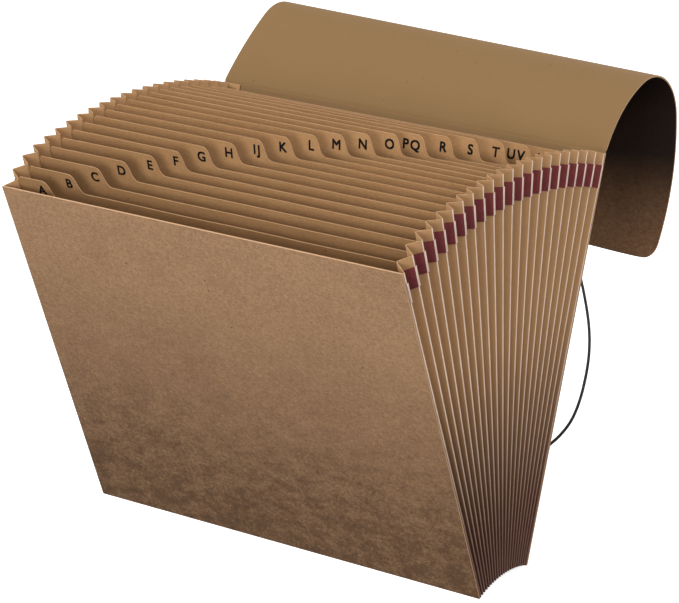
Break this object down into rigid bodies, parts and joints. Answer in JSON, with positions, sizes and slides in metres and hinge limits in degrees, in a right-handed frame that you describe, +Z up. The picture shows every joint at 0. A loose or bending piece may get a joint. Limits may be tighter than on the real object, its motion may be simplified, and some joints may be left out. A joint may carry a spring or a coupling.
{
  "type": "expanding file",
  "caption": "Expanding file opened as a fan, with pleated gussets, stepped index dividers, a rolled-back flap and an elastic cord closure.",
  "frame": {"origin": "middle of the front cover's level foot, on the surface the file stands on", "axes": "+X to the right across the file seen from the front, +Y from the front cover to the back, +Z up"},
  "size_m": [0.3213, 0.3463, 0.3001],
  "materials": {
    "cover_board": "matt mottled kraft board",
    "divider_card": "matt smooth kraft card",
    "gusset_paper": "matt kraft paper",
    "tape_cloth": "maroon book cloth",
    "eyelet_metal": "satin",
    "cord_rubber": "braided black elastic"
  },
  "bodies": {
    "file_body": {"front_cover": "cover_board", "back_cover": "cover_board", "left_gusset": "gusset_paper", "right_gusset": "gusset_paper", "bottom_gusset": "gusset_paper", "left_gusset_tape": "tape_cloth", "right_gusset_tape": "tape_cloth", "divider_a": "divider_card", "divider_b": "divider_card", "divider_c": "divider_card", "divider_d": "divider_card", "divider_e": "divider_card", "divider_f": "divider_card", "divider_g": "divider_card", "divider_h": "divider_card", "divider_ij": "divider_card", "divider_k": "divider_card", "divider_l": "divider_card", "divider_m": "divider_card", "divider_n": "divider_card", "divider_o": "divider_card", "divider_pq": "divider_card", "divider_r": "divider_card", "divider_s": "divider_card", "divider_t": "divider_card", "divider_uv": "divider_card", "divider_w": "divider_card", "divider_xyz": "divider_card", "upper_eyelet": "eyelet_metal", "lower_eyelet": "eyelet_metal", "elastic_cord": "cord_rubber"},
    "flap": {"flap": "cover_board"}
  },
  "joints": [
    {"name": "flap_crease", "type": "hinge", "parent": "file_body", "child": "flap", "pos_m": [0, 0.15344, 0.25914], "axis": [1, 0, 0], "range_deg": [0, 105]}
  ]
}
